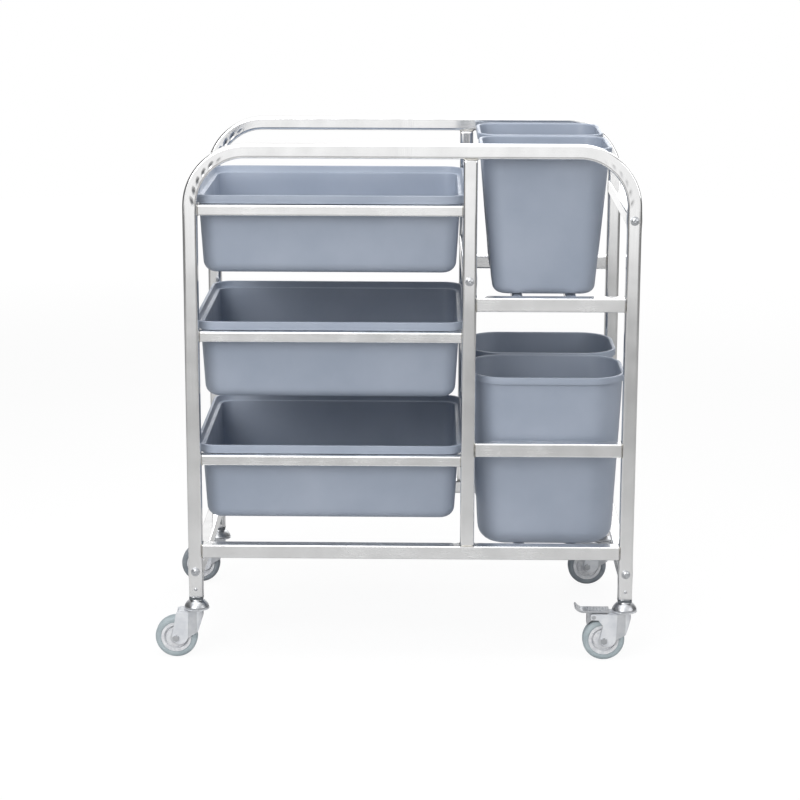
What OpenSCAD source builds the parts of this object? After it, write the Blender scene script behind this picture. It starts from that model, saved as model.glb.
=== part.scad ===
// Tray return trolley: bolted square-tube frame, three hung tubs, four bins, four swivel castors.
// Millimetres, +Z up, front towards -Y, origin on the floor under the middle of the outline.

/* [Frame] */
// Width across the legs
frame_w = 800; // [770:5:850]
// Depth across the front and rear bows
frame_d = 480; // [460:5:530]
// Height of the top bars above the floor
frame_h = 934; // [925:1:970]
// Side of the square frame tube
tube = 25; // [24:0.5:26]
// Wall of the frame tube
tube_wall = 1.2; // [1:0.1:2]
// Outer corner radius of the frame tube
tube_r = 3; // [2.5:0.25:4]
// Outer radius of the bends in the bows
bend_r = 110; // [90:1:115]
// Distance of the mid posts to the right of the frame's middle
post_offset = 101.5; // [92:0.5:112]

/* [Rails] */
// Rise of the bottom rails' undersides above the lower ends of the legs
bottom_rail_rise = 75; // [69:1:82]
// Depth of the shelf rails' undersides below the top of the bows
shelf_drop = 293; // [284:1:309]
// Height of the guard rails as a share of the way from the bottom rails to the shelf rails
guard_share = 0.42; // [0.35:0.01:0.48]
// Side of the slim square tube of the tub rails
tub_rail = 19; // [18:0.5:20]
// Distance that the tub rails stand inside the legs
tub_rail_in = 10; // [8:0.5:11]
// Rise of the lowest tub rails' undersides above the bottom rails
tub_rail_rise = 143; // [137:1:153]
// Depth of the highest tub rails' undersides below the top of the bows
tub_rail_drop = 127.4; // [126:0.1:135]
// Spacing of the bearers under the bins
bearer_pitch = 95; // [80:1:100]
// Width of the bearer tubes
bearer_w = 20; // [16:0.5:25]
// Height of the bearer tubes
bearer_h = 11.5; // [10:0.5:11.5]
// Depth of the shelf bearers' tops below the tops of the shelf rails
shelf_bearer_drop = 3.3; // [0:0.1:12]
// Depth of the floor bearers' tops below the tops of the bottom rails
floor_bearer_drop = 13.3; // [8:0.1:13.4]

/* [Cross tubes and bolts] */
// Rise of the two low cross tubes' axes above the lower ends of the legs
low_cross_rise = 49; // [44:1:54]
// Rise of the cross tube between the mid posts above the rim of the middle tub
mid_cross_rise = 79.1; // [70:0.1:84]
// Depth of the high cross tube's axis below the top of the bows
high_cross_drop = 131; // [126:1:149]
// Length of the threaded plug in each end of a cross tube
thread_plug = 30; // [22:1:40]
// Diameter of the frame bolts
bolt_d = 6; // [5:0.5:8]
// Diameter of the bolt's button head
bolt_head_d = 12; // [11:0.5:14]
// Diameter of the bolt's flange
bolt_flange_d = 16; // [15:0.5:18]
// Height of the bolt's head with its flange
bolt_head_h = 4; // [3.5:0.25:5]

/* [Tubs] */
// Space between the base of a tub and the rim of the tub below
tub_space = 83.9; // [70:0.1:105]
// Wall of the tubs and bins
wall = 3; // [2.5:0.25:4]
// Draft of the tub walls in degrees
tub_draft = 3.3; // [2:0.1:5]
// Width of the turned-down rim outside the tub wall
tub_rim_w = 12; // [10:0.5:13]
// Depth of the turned-down rim
tub_rim_h = 15.5; // [9:0.5:17]
// Gap from a tub wall to the rails beside it
tub_side_gap = 5; // [4:0.5:6]
// Gap from a tub wall to the plane of the post's side
tub_post_gap = 4; // [2:0.5:6]
// Reach of a tub wall past the plane of the leg's side
tub_leg_reach = 2; // [0:0.5:4]
// Corner radius of the tubs
tub_corner_r = 28; // [26:1:36]
// Radius of the tub's base edge
tub_base_r = 20; // [14:1:21]

/* [Bins] */
// Depth of the upper bins' rims below the top of the bows
upper_bin_drop = 9; // [5:1:25]
// Gap from the upper bins' rims to the cross tube between the mid posts
upper_post_gap = 4.5; // [3:0.5:12]
// Gap from the upper bins' rims to the plane of the right legs
upper_leg_gap = 24.5; // [12:0.5:28]
// Draft of the upper bin walls in degrees
upper_draft = 4.8; // [3:0.1:5.5]
// Corner radius of the upper bins
upper_corner_r = 38; // [34:1:44]
// Radius of the upper bins' base edge
upper_base_r = 17; // [10:1:20]
// Space between the lower bins' rims and the shelf rails above
lower_bin_space = 123.9; // [100:0.1:150]
// Draft of the lower bin walls in degrees
lower_draft = 2.8; // [2:0.1:4]
// Corner radius of the lower bins
lower_corner_r = 60; // [50:1:66]
// Radius of the lower bins' base edge
lower_base_r = 30; // [20:1:34]
// Height of the band round a bin's rim
bin_rim_h = 13; // [10:0.5:16]
// Reach of the band outside the bin's wall
bin_rim_w = 4; // [3:0.25:5]
// Gap between a bin's rim and the bow beside it
bin_bow_gap = 2; // [1.5:0.25:4]
// Gap between the front bin and the rear bin
bin_pair_gap = 10; // [6:0.5:16]
// Gap from a lower bin's rim to the middle of the post and leg beside it
lower_bin_gap = 3; // [2:0.25:6]

/* [Castors] */
// Height from the floor to the lower end of the legs
castor_h = 113; // [111:0.5:117]
// Wheel diameter
wheel_d = 76; // [73:0.5:78]
// Tyre width
wheel_w = 24; // [20:0.5:26]
// Radius of the tyre's shoulders
shoulder_r = 5; // [3:0.5:6]
// Depth of the tyre's rubber
tyre_depth = 12.5; // [10:0.5:14]
// Distance of the axle behind the swivel axis
castor_trail = 37; // [35:0.5:39]
// Sheet thickness of the fork
fork_t = 2.2; // [2:0.1:3]
// Gap from the tyre's side to the fork
fork_gap = 1.8; // [1.5:0.1:3]
// Diameter of the swivel pin
king_pin_d = 12; // [10:0.5:13]
// Diameter of the axle bolt
axle_d = 8; // [7:0.5:9]
// Diameter of the raceway cap
race_d = 44; // [40:0.5:46]
// Length of the plug inside the leg
leg_plug = 32; // [28:1:36]
// Diameter of the rivet through the leg and its plug
rivet_d = 4; // [3:0.25:5]

/* [Brakes] */
// Distance of the pedal's pin behind the swivel axis
pedal_pin_x = 56; // [54:0.5:58]
// Diameter of the pedal's pin
pedal_pin_d = 5; // [4:0.25:6]
// Width of the pedal
pedal_w = 28; // [24:0.5:32]
// Thickness of the pedal plate
pedal_t = 4; // [3:0.25:5]
// Radius of the pedal's raised tip
tip_r = 18; // [15:0.5:22]
// Gap between the released brake shoe and the tyre
shoe_gap = 4; // [3.8:0.1:6]

/* [Clearances] */
// Radial clearance of a pin that turns in its bore
run_gap = 0.05; // [0.02:0.01:0.09]
// Radial clearance of a frame bolt in its tube holes
hole_gap = 0.2; // [0.1:0.05:0.4]
// Gap between faces that slide past each other
bearing_gap = 0.3; // [0.2:0.05:0.5]
// Gap under a tub or bin that stands on its rails
seat_gap = 0.1; // [0.05:0.05:0.3]

/* [Hidden] */
$fn = 64;
// Facets round the moulded corners of tubs and bins
mould_fn = 32;
// Slice thickness inside the moulded shapes
skin = 0.01;
// Overlap of a cut past the face that it opens
cut = 1;

// Steel of the frame, plated castor metal, grey mouldings, tyre, wheel centre and leg plug
steel_c = [0.78, 0.78, 0.77];
zinc_c = [0.72, 0.73, 0.74];
moulding_c = [0.6, 0.64, 0.7];
tyre_c = [0.6, 0.64, 0.67];
centre_c = [0.76, 0.77, 0.78];
plug_c = [0.2, 0.2, 0.21];

// Raceway crown on top of each fork
crown_d = race_d + 2;

// Frame positions; mid_x brings the outline with its trailing wheels to the middle
mid_x = (castor_trail + wheel_d / 2 - max(crown_d, tube) / 2) / 2;
left_x = mid_x - (frame_w - tube) / 2;
right_x = mid_x + (frame_w - tube) / 2;
post_x = mid_x + post_offset;
bow_y = (frame_d - tube) / 2;
inner_y = frame_d / 2 - tube;
bar_z = frame_h - tube / 2;
bend_c = bend_r - tube / 2;
bend_z = frame_h - bend_r;
bottom_rail_z = castor_h + bottom_rail_rise;
bottom_top = bottom_rail_z + tube;
low_cross_z = castor_h + low_cross_rise;
shelf_rail_z = frame_h - shelf_drop;
shelf_top = shelf_rail_z + tube;
guard_rail_z = bottom_rail_z + guard_share * (shelf_rail_z - bottom_rail_z);
high_cross_z = frame_h - high_cross_drop;
tub_rail_z = bottom_top + tub_rail_rise;
tub_pitch = (frame_h - tub_rail_drop - tub_rail_z) / 2;
tub_top = tub_rail_z + tub_rail + seat_gap + tub_rim_h;
mid_cross_z = tub_top + tub_pitch + mid_cross_rise;
shelf_seat = shelf_top - shelf_bearer_drop;
floor_seat = bottom_top - floor_bearer_drop;

// Rivets sit halfway up the plugs in the legs
rivet_z = castor_h + leg_plug / 2;
rivet_head_d = rivet_d + 2.5;
rivet_head_h = 1.2;
bolt_flange_t = 1.2;
bolt_grip = tube + thread_plug - 8;

// Tub sizes at the rim; the rims pass between the legs and between the top bars
tub_w = post_x - left_x - tube - tub_post_gap + tub_leg_reach;
tub_x = (left_x + post_x - tub_post_gap - tub_leg_reach) / 2;
tub_d = 2 * (inner_y - tub_rail_in - tub_side_gap);
tub_h = tub_pitch - tub_space;
tub_rim_r = tub_corner_r + tub_rim_w;
tub_bottom_r = tub_corner_r - 4;

// Bin sizes at the rim
bay_x = (post_x + right_x) / 2;
bin_d = inner_y - bin_bow_gap - bin_pair_gap / 2;
bin_y = (bin_d + bin_pair_gap) / 2;
lower_bin_w = right_x - post_x - 2 * lower_bin_gap;
upper_bin_w = right_x - post_x - tube - upper_post_gap - upper_leg_gap;
upper_x = post_x + tube / 2 + upper_post_gap + upper_bin_w / 2;
upper_bin_h = frame_h - upper_bin_drop - shelf_seat - seat_gap;
lower_bin_h = shelf_rail_z - lower_bin_space - floor_seat - seat_gap;

// Castor heights, from the leg down to the swivel pin
plug_flange = 4;
collar_h = 9;
collar_d = 20;
race_h = 7;
race_edge = 2.5;
crown_h = 4.5;
plug_z = castor_h - plug_flange;
collar_z = plug_z - collar_h;
race_z = collar_z - race_h;
crown_z = race_z - bearing_gap;
fork_top = crown_z - crown_h;
stud_d = 10;
stud_top = castor_h + leg_plug - 6;
pin_head_d = 18;
pin_head_h = 3;
pin_head_z = fork_top - fork_t - bearing_gap - pin_head_h;

// Fork, wheel and axle
wheel_r = wheel_d / 2;
tyre_in = wheel_r - tyre_depth;
fork_in = wheel_w / 2 + fork_gap;
fork_out = fork_in + fork_t;
fork_back = 5 - castor_trail;
fork_nose = 12.5;
nose_h = 6;
chin = [fork_nose - 9.5, wheel_r + 11];
eye_r = 10.5;
// Depth by which the cheek's straight edges run into the round of the eye
tuck = 0.1;
boss_r = 10;
rim_ring = 4;
axle_head = axle_d * 1.6;
axle_head_h = 5;
axle_nut_h = 5;
axle_tail = 1.5;

// Brake pedal and its pin
pin_lug_r = 6;
pedal_pin_z = fork_top - pin_lug_r;
pedal_z = fork_top + 1.5;
pedal_front = crown_d / 2 + 5;
pedal_back = pedal_pin_x + 18;
shoe_front = pedal_pin_x - 6;
shoe_back = pedal_pin_x + 12;
shoe_w = 2 * fork_in - 8;
tip_turn = 55;
pin_head_r = pedal_pin_d / 2 + 1.5;
pin_cap = 1.5;

// Point where a line from p touches the circle of radius r round c, on the side given by turn
function touch(p, c, r, turn) =
    let (
        a = atan2(p.y - c.y, p.x - c.x),
        b = acos(r / norm(p - c))
    )
    c + r * [cos(a + turn * b), sin(a + turn * b)];

// Rectangle with round corners, centred
module round_rect(w, d, r) {
    square([w - 2 * r, d], center = true);
    square([w, d - 2 * r], center = true);
    for (x = [-1, 1], y = [-1, 1])
        translate([x * (w / 2 - r), y * (d / 2 - r)])
            circle(r);
}

// Hollow section with round corners
module hollow_section(w, d) {
    difference() {
        round_rect(w, d, tube_r);
        round_rect(w - 2 * tube_wall, d - 2 * tube_wall, tube_r - tube_wall / 2);
    }
}

module tube_x(x0, x1, y, z) {
    translate([x0, y, z])
        rotate([90, 0, 90])
            linear_extrude(x1 - x0)
                hollow_section(tube, tube);
}

module tube_z(x, y, z0, z1) {
    translate([x, y, z0])
        linear_extrude(z1 - z0)
            hollow_section(tube, tube);
}

// Round hole along Y through the tube of one bow
module bolt_hole(x, side, z) {
    translate([x, side * bow_y, z])
        rotate([90, 0, 0])
            cylinder(h = tube + 2 * cut, d = bolt_d + 2 * hole_gap, center = true);
}

// Round hole along Y through the outer wall of a leg
module rivet_hole(x, side, depth) {
    translate([x, side * frame_d / 2, rivet_z])
        rotate([90 * side, 0, 0])
            translate([0, 0, -cut])
                cylinder(h = depth + cut, d = rivet_d + 2 * run_gap);
}

// One tube bent into two legs and a top bar
module bow(side) {
    y = side * bow_y;
    color(steel_c)
        difference() {
            union() {
                for (x = [left_x, right_x])
                    tube_z(x, y, castor_h, bend_z);
                tube_x(left_x + bend_c, right_x - bend_c, y, bar_z);
                for (turn = [0, 1])
                    translate([turn == 0 ? right_x - bend_c : left_x + bend_c, y, bend_z])
                        rotate([90, 0, 0])
                            rotate([0, 0, 90 * turn])
                                rotate_extrude(angle = 90)
                                    translate([bend_c, 0])
                                        hollow_section(tube, tube);
            }
            for (x = [left_x, right_x]) {
                bolt_hole(x, side, low_cross_z);
                rivet_hole(x, side, tube / 2);
            }
            bolt_hole(right_x, side, high_cross_z);
        }
}

module mid_post(side) {
    color(steel_c)
        difference() {
            tube_z(post_x, side * bow_y, bottom_top, frame_h - tube);
            bolt_hole(post_x, side, mid_cross_z);
        }
}

// Full-width rail between the legs of one bow
module bottom_rail(side) {
    color(steel_c)
        tube_x(left_x + tube / 2, right_x - tube / 2, side * bow_y, bottom_rail_z + tube / 2);
}

// Rail from the mid post to the right leg
module bay_rail(side, z) {
    color(steel_c)
        tube_x(post_x + tube / 2, right_x - tube / 2, side * bow_y, z + tube / 2);
}

// Slim rail from the left leg to the mid post, standing inside the legs by part of its depth
module hung_rail(side, level) {
    color(steel_c)
        translate([left_x + tube / 2, side * (inner_y - tub_rail_in + tub_rail / 2),
                   tub_rail_z + level * tub_pitch + tub_rail / 2])
            rotate([90, 0, 90])
                linear_extrude(post_x - left_x - tube)
                    hollow_section(tub_rail, tub_rail);
}

// Tube between the two bows with a threaded plug in each end
module cross_tube(x, z) {
    color(steel_c)
        difference() {
            translate([x, -inner_y, z])
                rotate([-90, 0, 0])
                    linear_extrude(2 * inner_y)
                        round_rect(tube, tube, tube_r);
            translate([x, -inner_y + thread_plug, z])
                rotate([-90, 0, 0])
                    linear_extrude(2 * (inner_y - thread_plug))
                        round_rect(tube - 2 * tube_wall, tube - 2 * tube_wall, tube_r - tube_wall / 2);
            translate([x, 0, z])
                rotate([90, 0, 0])
                    cylinder(h = 2 * inner_y + 2 * cut, d = bolt_d + 2 * run_gap, center = true);
        }
}

// Two tubes across the trolley that carry a pair of bins
module bearers(x, top) {
    color(steel_c)
        for (s = [-1, 1])
            translate([x + s * bearer_pitch / 2, -inner_y, top - bearer_h / 2])
                rotate([-90, 0, 0])
                    linear_extrude(2 * inner_y)
                        hollow_section(bearer_w, bearer_h);
}

// Button-head bolt with a flange and a hexagon socket, seated on the outer face of a bow
module frame_bolt(x, side, z) {
    dome_h = bolt_head_h - bolt_flange_t;
    dome_r = (bolt_head_d * bolt_head_d / 4 + dome_h * dome_h) / (2 * dome_h);
    translate([x, side * frame_d / 2, z])
        rotate([-90 * side, 0, 0])
            difference() {
                union() {
                    translate([0, 0, -bolt_grip])
                        cylinder(h = bolt_grip + bolt_flange_t, d = bolt_d);
                    cylinder(h = bolt_flange_t, d = bolt_flange_d);
                    intersection() {
                        translate([0, 0, bolt_head_h - dome_r])
                            sphere(dome_r);
                        cylinder(h = bolt_head_h, d = bolt_head_d);
                    }
                }
                translate([0, 0, bolt_head_h / 2])
                    cylinder(h = bolt_head_h, d = bolt_d * 0.75, $fn = 6);
            }
}

module frame_bolts() {
    color(zinc_c)
        for (side = [-1, 1]) {
            frame_bolt(left_x, side, low_cross_z);
            frame_bolt(right_x, side, low_cross_z);
            frame_bolt(right_x, side, high_cross_z);
            frame_bolt(post_x, side, mid_cross_z);
        }
}

// Moulded plug in the lower end of each leg, with a flange that closes the tube
module leg_plugs() {
    fit = tube - 2 * tube_wall - 4 * run_gap;
    color(plug_c)
        for (x = [left_x, right_x], side = [-1, 1])
            difference() {
                translate([x, side * bow_y, 0])
                    difference() {
                        union() {
                            translate([0, 0, plug_z])
                                linear_extrude(plug_flange)
                                    round_rect(tube, tube, tube_r);
                            translate([0, 0, plug_z])
                                linear_extrude(plug_flange + leg_plug)
                                    round_rect(fit, fit, tube_r);
                        }
                        translate([0, 0, plug_z - cut])
                            cylinder(h = plug_flange + leg_plug + 2 * cut, d = stud_d + 2 * run_gap);
                    }
                rivet_hole(x, side, tube / 2);
            }
}

// Domed rivet through the outer wall of each leg into its plug
module plug_rivets() {
    dome_r = (rivet_head_d * rivet_head_d / 4 + rivet_head_h * rivet_head_h) / (2 * rivet_head_h);
    shank = (tube - stud_d) / 2 - 1;
    color(zinc_c)
        for (x = [left_x, right_x], side = [-1, 1])
            translate([x, side * frame_d / 2, rivet_z])
                rotate([-90 * side, 0, 0]) {
                    translate([0, 0, -shank])
                        cylinder(h = shank + rivet_head_h / 2, d = rivet_d);
                    intersection() {
                        translate([0, 0, rivet_head_h - dome_r])
                            sphere(dome_r);
                        cylinder(h = rivet_head_h, d = rivet_head_d);
                    }
                }
}

// Drafted block with round corners and a round base edge; inset shrinks it on all sides
module drafted_block(w, d, h, draft, r, base_r, edge_r, inset, z0, z1) {
    hull()
        for (x = [-1, 1], y = [-1, 1]) {
            drop = (h - z1) * tan(draft) + inset;
            translate([x * (w / 2 - r), y * (d / 2 - r), z1 - skin])
                cylinder(h = skin, r = r - drop, $fn = mould_fn);
            for (step = [0:4]) {
                a = 22.5 * step;
                low = h * tan(draft) + inset;
                translate([x * (w / 2 - low - base_r + inset), y * (d / 2 - low - base_r + inset),
                           z0 + (edge_r - inset) * (1 - cos(a))])
                    cylinder(h = skin, r = base_r - edge_r + (edge_r - inset) * sin(a), $fn = mould_fn);
            }
        }
}

// Open moulded shell with a drafted wall and a flat floor
module moulded_shell(w, d, h, draft, r, base_r, edge_r) {
    difference() {
        drafted_block(w, d, h, draft, r, base_r, edge_r, 0, 0, h);
        drafted_block(w, d, h, draft, r, base_r, edge_r, wall, wall, h + cut);
    }
}

// Band round a moulded shell, from inside its wall out to the given reach
module rim_band(w, d, r, draft, reach, band_h) {
    keep = (wall + band_h * tan(draft)) / 2;
    linear_extrude(band_h)
        difference() {
            round_rect(w + 2 * reach, d + 2 * reach, r + reach);
            round_rect(w - 2 * keep, d - 2 * keep, r - keep);
        }
}

// Shallow tub that hangs from its turned-down rim on a pair of rails
module tub(level) {
    color(moulding_c)
        translate([tub_x, 0, tub_top + level * tub_pitch - tub_h]) {
            moulded_shell(tub_w, tub_d, tub_h, tub_draft, tub_corner_r, tub_bottom_r, tub_base_r);
            translate([0, 0, tub_h - wall])
                rim_band(tub_w, tub_d, tub_corner_r, tub_draft, tub_rim_w, wall);
            translate([0, 0, tub_h - tub_rim_h])
                linear_extrude(tub_rim_h)
                    difference() {
                        round_rect(tub_w + 2 * tub_rim_w, tub_d + 2 * tub_rim_w, tub_rim_r);
                        round_rect(tub_w + 2 * tub_rim_w - 2 * wall, tub_d + 2 * tub_rim_w - 2 * wall,
                                   tub_rim_r - wall);
                    }
        }
}

// Deep bin with a band round its rim
module bin(x, side, z, w, h, draft, corner_r, base_r, edge_r) {
    body_w = w - 2 * bin_rim_w;
    body_d = bin_d - 2 * bin_rim_w;
    color(moulding_c)
        translate([x, side * bin_y, z + seat_gap]) {
            moulded_shell(body_w, body_d, h, draft, corner_r, base_r, edge_r);
            translate([0, 0, h - bin_rim_h])
                rim_band(body_w, body_d, corner_r, draft, bin_rim_w, bin_rim_h);
        }
}

module upper_bin(side) {
    bin(upper_x, side, shelf_seat, upper_bin_w, upper_bin_h, upper_draft,
        upper_corner_r, upper_corner_r - 12, upper_base_r);
}

module lower_bin(side) {
    bin(bay_x, side, floor_seat, lower_bin_w, lower_bin_h, lower_draft,
        lower_corner_r, lower_corner_r - 12, lower_base_r);
}

// Places a castor piece under one leg, its swivel axis on the leg's middle
module under_leg(x, side) {
    translate([x, side * bow_y, 0])
        children();
}

// Extrudes a profile drawn in X and Z to both sides of the fork's middle
module across(w) {
    rotate([90, 0, 0])
        linear_extrude(w, center = true)
            children();
}

// Stud, collar, raceway cap and swivel pin of one castor
module stem() {
    dome_h = race_h - race_edge;
    dome_r = (race_d * race_d / 4 + dome_h * dome_h) / (2 * dome_h);
    color(zinc_c) {
        translate([0, 0, collar_z])
            cylinder(h = stud_top - collar_z, d = stud_d);
        translate([0, 0, collar_z - race_edge])
            cylinder(h = collar_h + race_edge, d = collar_d);
        intersection() {
            translate([0, 0, collar_z - dome_r])
                sphere(dome_r);
            translate([0, 0, race_z])
                cylinder(h = race_h, d = race_d);
        }
        translate([0, 0, pin_head_z])
            cylinder(h = race_z - pin_head_z + race_edge, d = king_pin_d);
        translate([0, 0, pin_head_z])
            cylinder(h = pin_head_h, d = pin_head_d);
    }
}

// Side outline of the fork's cheek, from the crown plate down to the axle eye
module cheek_outline(braked) {
    eye = [-castor_trail, wheel_r];
    back = [fork_back, fork_top];
    front = fork_nose + cut;
    polygon([touch(back, eye, eye_r - tuck, 1), back, [front, fork_top], [front, fork_top - nose_h],
             chin, touch(chin, eye, eye_r - tuck, -1)]);
    translate(eye)
        circle(eye_r);
    if (braked) {
        translate([-pedal_pin_x, pedal_pin_z])
            circle(pin_lug_r);
        translate([-pedal_pin_x, pedal_pin_z - pin_lug_r])
            square([pedal_pin_x + fork_back + pin_lug_r, 2 * pin_lug_r]);
    }
}

// Outline of the fork seen from above: two straight cheeks and a round nose
module fork_plan(half_w) {
    long = pedal_pin_x + pin_lug_r + cut;
    bend_x = fork_nose - fork_out;
    translate([-long, -half_w])
        square([long + bend_x, 2 * half_w]);
    translate([bend_x, 0])
        circle(half_w);
}

// Pressed fork with its raceway crown; a braked one carries lugs for the pedal's pin
module fork(braked) {
    crown_base = 2 * fork_out - 5;
    sunk = fork_t / 2;
    color(zinc_c)
        difference() {
            union() {
                intersection() {
                    across(2 * fork_out + 2 * cut)
                        cheek_outline(braked);
                    linear_extrude(fork_top + cut)
                        difference() {
                            fork_plan(fork_out);
                            fork_plan(fork_in);
                        }
                }
                intersection() {
                    across(2 * fork_out + 2 * cut)
                        cheek_outline(false);
                    translate([0, 0, fork_top - fork_t])
                        linear_extrude(fork_t + cut)
                            fork_plan(fork_out);
                }
                translate([0, 0, fork_top - sunk])
                    cylinder(h = sunk + crown_h / 2, d1 = crown_base, d2 = crown_d);
                translate([0, 0, fork_top + crown_h / 2])
                    cylinder(h = crown_h / 2, d = crown_d);
            }
            translate([0, 0, pin_head_z])
                cylinder(h = castor_h, d = king_pin_d + 2 * run_gap);
            translate([-castor_trail, 0, wheel_r])
                rotate([90, 0, 0])
                    cylinder(h = 2 * fork_out + 2 * cut, d = axle_d + 2 * run_gap, center = true);
            if (braked)
                translate([-pedal_pin_x, 0, pedal_pin_z])
                    rotate([90, 0, 0])
                        cylinder(h = 2 * fork_out + 2 * cut, d = pedal_pin_d + 2 * run_gap, center = true);
        }
}

// Axle bolt with a hexagon head in front and a nut behind
module axle() {
    color(zinc_c)
        translate([-castor_trail, 0, wheel_r])
            rotate([90, 0, 0]) {
                translate([0, 0, -fork_out - axle_nut_h - axle_tail])
                    cylinder(h = 2 * fork_out + axle_nut_h + axle_tail + axle_head_h / 2, d = axle_d);
                translate([0, 0, fork_out])
                    cylinder(h = axle_head_h, d = axle_head, $fn = 6);
                translate([0, 0, -fork_out - axle_nut_h])
                    cylinder(h = axle_nut_h, d = axle_head, $fn = 6);
            }
}

// Turns a profile drawn in radius and width about the axle
module wheel_turn() {
    translate([-castor_trail, 0, wheel_r])
        rotate([90, 0, 0])
            rotate_extrude()
                children();
}

module tyre() {
    color(tyre_c)
        wheel_turn()
            difference() {
                translate([tyre_in, 0])
                    round_rect(2 * tyre_depth, wheel_w, shoulder_r);
                translate([0, -wheel_w])
                    square([tyre_in, 2 * wheel_w]);
            }
}

// Moulded wheel centre: boss with the axle bore, web, and ring under the tyre
module wheel_centre() {
    boss_w = 2 * fork_in - 2 * bearing_gap;
    bore_r = axle_d / 2 + run_gap;
    color(centre_c)
        wheel_turn() {
            translate([bore_r, -boss_w / 2])
                square([boss_r - bore_r, boss_w]);
            translate([bore_r, -wheel_w / 4])
                square([tyre_in - bore_r, wheel_w / 2]);
            translate([tyre_in - rim_ring, -wheel_w / 2 + bearing_gap])
                square([rim_ring, wheel_w - 2 * bearing_gap]);
        }
}

// Foot pedal with a raised tip above and a brake shoe shaped to the tyre below
module brake_pedal() {
    tip = [-pedal_back, pedal_z + pedal_t / 2 + tip_r];
    far = 3 * tip_r;
    turn = 270 - tip_turn;
    color(zinc_c)
        difference() {
            union() {
                across(pedal_w) {
                    translate([-pedal_back, pedal_z])
                        square([pedal_back - pedal_front, pedal_t]);
                    intersection() {
                        translate(tip)
                            difference() {
                                circle(tip_r + pedal_t / 2);
                                circle(tip_r - pedal_t / 2);
                            }
                        polygon([tip, tip + far * [cos(turn), sin(turn)], tip + [-far, -far], tip + [0, -far]]);
                    }
                    translate(tip + tip_r * [cos(turn), sin(turn)])
                        circle(pedal_t / 2);
                }
                across(shoe_w)
                    difference() {
                        translate([-shoe_back, wheel_r])
                            square([shoe_back - shoe_front, pedal_z + pedal_t / 2 - wheel_r]);
                        translate([-castor_trail, wheel_r])
                            circle(wheel_r + shoe_gap);
                    }
            }
            translate([-pedal_pin_x, 0, pedal_pin_z])
                rotate([90, 0, 0])
                    cylinder(h = pedal_w + 2 * cut, d = pedal_pin_d + 2 * run_gap, center = true);
        }
}

// Pin through the fork's lugs and the pedal, with a flat head at each end
module brake_pin() {
    color(zinc_c)
        translate([-pedal_pin_x, 0, pedal_pin_z])
            rotate([90, 0, 0]) {
                cylinder(h = 2 * fork_out + pin_cap, d = pedal_pin_d, center = true);
                for (s = [-1, 1])
                    translate([0, 0, s * (fork_out + pin_cap / 2)])
                        cylinder(h = pin_cap, r = pin_head_r, center = true);
            }
}

module front_bow() bow(-1);
module rear_bow() bow(1);
module front_mid_post() mid_post(-1);
module rear_mid_post() mid_post(1);
module front_bottom_rail() bottom_rail(-1);
module rear_bottom_rail() bottom_rail(1);
module front_shelf_rail() bay_rail(-1, shelf_rail_z);
module rear_shelf_rail() bay_rail(1, shelf_rail_z);
module front_guard_rail() bay_rail(-1, guard_rail_z);
module rear_guard_rail() bay_rail(1, guard_rail_z);
module front_upper_tub_rail() hung_rail(-1, 2);
module front_middle_tub_rail() hung_rail(-1, 1);
module front_lower_tub_rail() hung_rail(-1, 0);
module rear_upper_tub_rail() hung_rail(1, 2);
module rear_middle_tub_rail() hung_rail(1, 1);
module rear_lower_tub_rail() hung_rail(1, 0);
module left_cross_tube() cross_tube(left_x, low_cross_z);
module right_cross_tube() cross_tube(right_x, low_cross_z);
module mid_cross_tube() cross_tube(post_x, mid_cross_z);
module high_cross_tube() cross_tube(right_x, high_cross_z);
module shelf_bearers() bearers(upper_x, shelf_seat);
module floor_bearers() bearers(bay_x, floor_seat);
module upper_tub() tub(2);
module middle_tub() tub(1);
module lower_tub() tub(0);
module front_upper_bin() upper_bin(-1);
module rear_upper_bin() upper_bin(1);
module front_lower_bin() lower_bin(-1);
module rear_lower_bin() lower_bin(1);
module front_left_stem() under_leg(left_x, -1) stem();
module front_left_fork() under_leg(left_x, -1) fork(false);
module front_left_axle() under_leg(left_x, -1) axle();
module front_left_tyre() under_leg(left_x, -1) tyre();
module front_left_wheel_centre() under_leg(left_x, -1) wheel_centre();
module front_right_stem() under_leg(right_x, -1) stem();
module front_right_fork() under_leg(right_x, -1) fork(true);
module front_right_axle() under_leg(right_x, -1) axle();
module front_right_tyre() under_leg(right_x, -1) tyre();
module front_right_wheel_centre() under_leg(right_x, -1) wheel_centre();
module rear_left_stem() under_leg(left_x, 1) stem();
module rear_left_fork() under_leg(left_x, 1) fork(false);
module rear_left_axle() under_leg(left_x, 1) axle();
module rear_left_tyre() under_leg(left_x, 1) tyre();
module rear_left_wheel_centre() under_leg(left_x, 1) wheel_centre();
module rear_right_stem() under_leg(right_x, 1) stem();
module rear_right_fork() under_leg(right_x, 1) fork(true);
module rear_right_axle() under_leg(right_x, 1) axle();
module rear_right_tyre() under_leg(right_x, 1) tyre();
module rear_right_wheel_centre() under_leg(right_x, 1) wheel_centre();
module front_right_brake_pedal() under_leg(right_x, -1) brake_pedal();
module front_right_brake_pin() under_leg(right_x, -1) brake_pin();
module rear_right_brake_pedal() under_leg(right_x, 1) brake_pedal();
module rear_right_brake_pin() under_leg(right_x, 1) brake_pin();

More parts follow.
